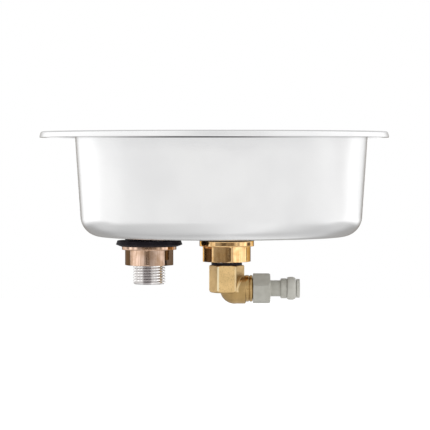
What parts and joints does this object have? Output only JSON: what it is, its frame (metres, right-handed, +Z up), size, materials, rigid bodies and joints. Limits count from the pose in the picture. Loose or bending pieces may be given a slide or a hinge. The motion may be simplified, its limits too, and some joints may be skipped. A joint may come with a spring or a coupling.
{
  "type": "glass rinser",
  "caption": "Drop-in round steel bowl with a press-down star that sprays an upturned glass, a threaded waste outlet and a push-fit water inlet.",
  "frame": {"origin": "on the rim's axis, at the height of the counter that the lip's edge stands on", "axes": "+Z up; the waste outlet lies toward -X and the water tube enters from +X; the pictured side faces -Y"},
  "size_m": [0.23, 0.23, 0.1137],
  "materials": {
    "bowl_steel": "pressed stainless sheet, satin outside",
    "plated_metal": "bright plate, a little worn",
    "bronzed_brass": "machined, darkened pinkish bronze tone",
    "machined_brass": "machined, bright turned faces",
    "cast_brass": "forged and tumbled, fine grain",
    "spring_steel": "drawn wire",
    "black_rubber": "moulded, matt",
    "grey_plastic": "moulded, satin",
    "star_plastic": "moulded, satin"
  },
  "bodies": {
    "bowl_and_fittings": {"bowl": "bowl_steel", "drain_body": "plated_metal", "drain_flange_gasket": "black_rubber", "drain_outer_gasket": "black_rubber", "drain_back_nut": "bronzed_brass", "valve_body": "plated_metal", "valve_flange_gasket": "black_rubber", "inlet_outer_gasket": "black_rubber", "inlet_back_nut": "machined_brass", "shank_washer": "black_rubber", "inlet_elbow": "cast_brass", "valve_bonnet": "plated_metal", "bonnet_gasket": "black_rubber", "stem_o_ring": "black_rubber", "return_spring": "spring_steel", "push_fit_body": "grey_plastic", "adapter_seal": "black_rubber", "tube_o_ring": "black_rubber", "push_fit_cap": "grey_plastic"},
    "spray_head": {"valve_plunger": "plated_metal", "plunger_seal": "black_rubber", "spray_star": "star_plastic", "spray_cap": "plated_metal", "star_o_ring": "black_rubber"},
    "tube_collet": {"push_fit_collet": "grey_plastic"},
    "waste_strainer": {"drain_strainer": "plated_metal"}
  },
  "joints": [
    {"name": "star_press", "type": "slide", "parent": "bowl_and_fittings", "child": "spray_head", "axis": [0, 0, -1], "range_m": [0, 0.006], "stiffness_N_per_m": 1500, "springref_m": -0.004, "deforming": ["return_spring"]},
    {"name": "collet_pull", "type": "slide", "parent": "bowl_and_fittings", "child": "tube_collet", "axis": [1, 0, 0], "range_m": [0, 0.0015]},
    {"name": "strainer_lift", "type": "slide", "parent": "bowl_and_fittings", "child": "waste_strainer", "axis": [0, 0, 1], "range_m": [0, 0.075]}
  ]
}
